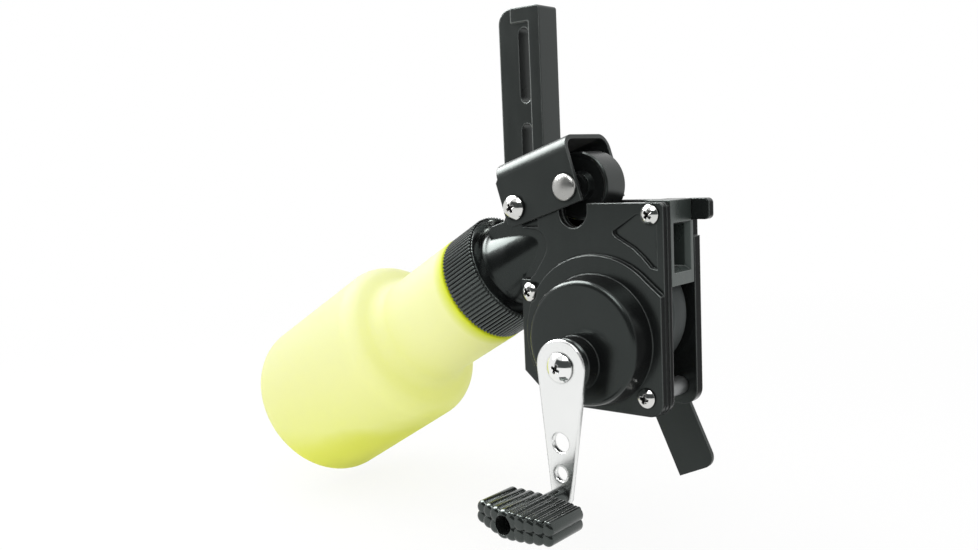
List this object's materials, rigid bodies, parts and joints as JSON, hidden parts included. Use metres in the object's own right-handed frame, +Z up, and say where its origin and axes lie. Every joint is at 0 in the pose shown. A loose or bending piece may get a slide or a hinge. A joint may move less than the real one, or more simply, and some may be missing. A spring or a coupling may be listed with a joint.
{
  "type": "bowfishing reel",
  "caption": "Bottle-style bowfishing reel: slanted line bottle on a funnel throat, geared crank and drive wheel, finger lever with pinch roller, slotted upright mount bar.",
  "frame": {"origin": "centre of the two bolt slots on the face of the mount bar that meets the bow", "axes": "+X from the bottle to the line outlet, +Y from the crank side to the bow, +Z up the mount bar"},
  "size_m": [0.2172, 0.1033, 0.1996],
  "materials": {
    "case_plastic": "satin",
    "collar_plastic": "satin",
    "knob_plastic": "satin",
    "guide_plastic": "matte",
    "roller_plastic": "satin",
    "bar_paint": "black anodised",
    "lever_paint": "black satin paint",
    "crank_chrome": "polished",
    "zinc_steel": "bright zinc",
    "ground_steel": "ground",
    "spring_steel": "drawn",
    "bush_brass": "turned",
    "gear_nylon": "matte",
    "tyre_rubber": "matte",
    "bottle_plastic": "translucent chartreuse"
  },
  "bodies": {
    "housing": {"gear_cover": "case_plastic", "front_plate": "case_plastic", "back_plate": "case_plastic", "line_guide": "guide_plastic", "mount_bar": "bar_paint", "mount_screws": "zinc_steel", "case_screws": "zinc_steel", "spacer_posts": "zinc_steel", "drive_bushes": "bush_brass", "crank_bush": "bush_brass", "pivot_pin": "zinc_steel", "pivot_nut": "zinc_steel", "throat_gasket": "tyre_rubber", "return_spring": "spring_steel"},
    "crank": {"crank_shaft": "ground_steel", "crank_gear": "gear_nylon", "crank_arm": "crank_chrome", "crank_screw": "crank_chrome", "crank_washer": "zinc_steel", "knob_axle": "ground_steel"},
    "handle": {"knob": "knob_plastic"},
    "drive": {"drive_shaft": "ground_steel", "drive_pinion": "ground_steel", "drive_wheel": "guide_plastic", "wheel_tyre": "tyre_rubber", "shaft_clips": "zinc_steel"},
    "lever": {"finger_lever": "lever_paint", "roller_axle": "zinc_steel", "axle_sleeves": "roller_plastic"},
    "roller": {"pinch_roller": "roller_plastic", "roller_bush": "bush_brass"},
    "ring": {"collar": "collar_plastic"},
    "line_bottle": {"bottle": "bottle_plastic"}
  },
  "joints": [
    {"name": "crank_turn", "type": "hinge", "parent": "housing", "child": "crank", "pos_m": [0.0483, -0.0277, -0.08985], "axis": [0, 1, 0], "continuous": true},
    {"name": "drive_turn", "type": "hinge", "parent": "housing", "child": "drive", "pos_m": [0.05271, -0.0277, -0.07447], "axis": [0, 1, 0], "continuous": true},
    {"name": "knob_spin", "type": "hinge", "parent": "crank", "child": "handle", "pos_m": [0.04687, -0.0684, -0.13533], "axis": [0, 1, 0], "continuous": true},
    {"name": "lever_press", "type": "hinge", "parent": "housing", "child": "lever", "pos_m": [0.0165, -0.0277, -0.03625], "axis": [0, 1, 0], "range_deg": [0, 28], "stiffness_Nm_per_rad": 0.12, "springref_deg": -28.65, "deforming": ["return_spring"]},
    {"name": "roller_spin", "type": "hinge", "parent": "lever", "child": "roller", "pos_m": [0.03929, -0.0277, -0.02906], "axis": [0, 1, 0], "continuous": true},
    {"name": "collar_turn", "type": "hinge", "parent": "housing", "child": "ring", "pos_m": [0.0035, -0.0277, -0.06035], "axis": [0.8686, 0, 0.4955], "range_deg": [0, 450]},
    {"name": "bottle_draw", "type": "slide", "parent": "housing", "child": "line_bottle", "axis": [-0.8686, 0, -0.4955], "range_m": [0, 0.005]}
  ],
  "couplings": [
    {"joint": "drive_turn", "follows": "crank_turn", "ratio": -2.2},
    {"joint": "collar_turn", "follows": "bottle_draw", "rad_per_m": 1570.8}
  ]
}
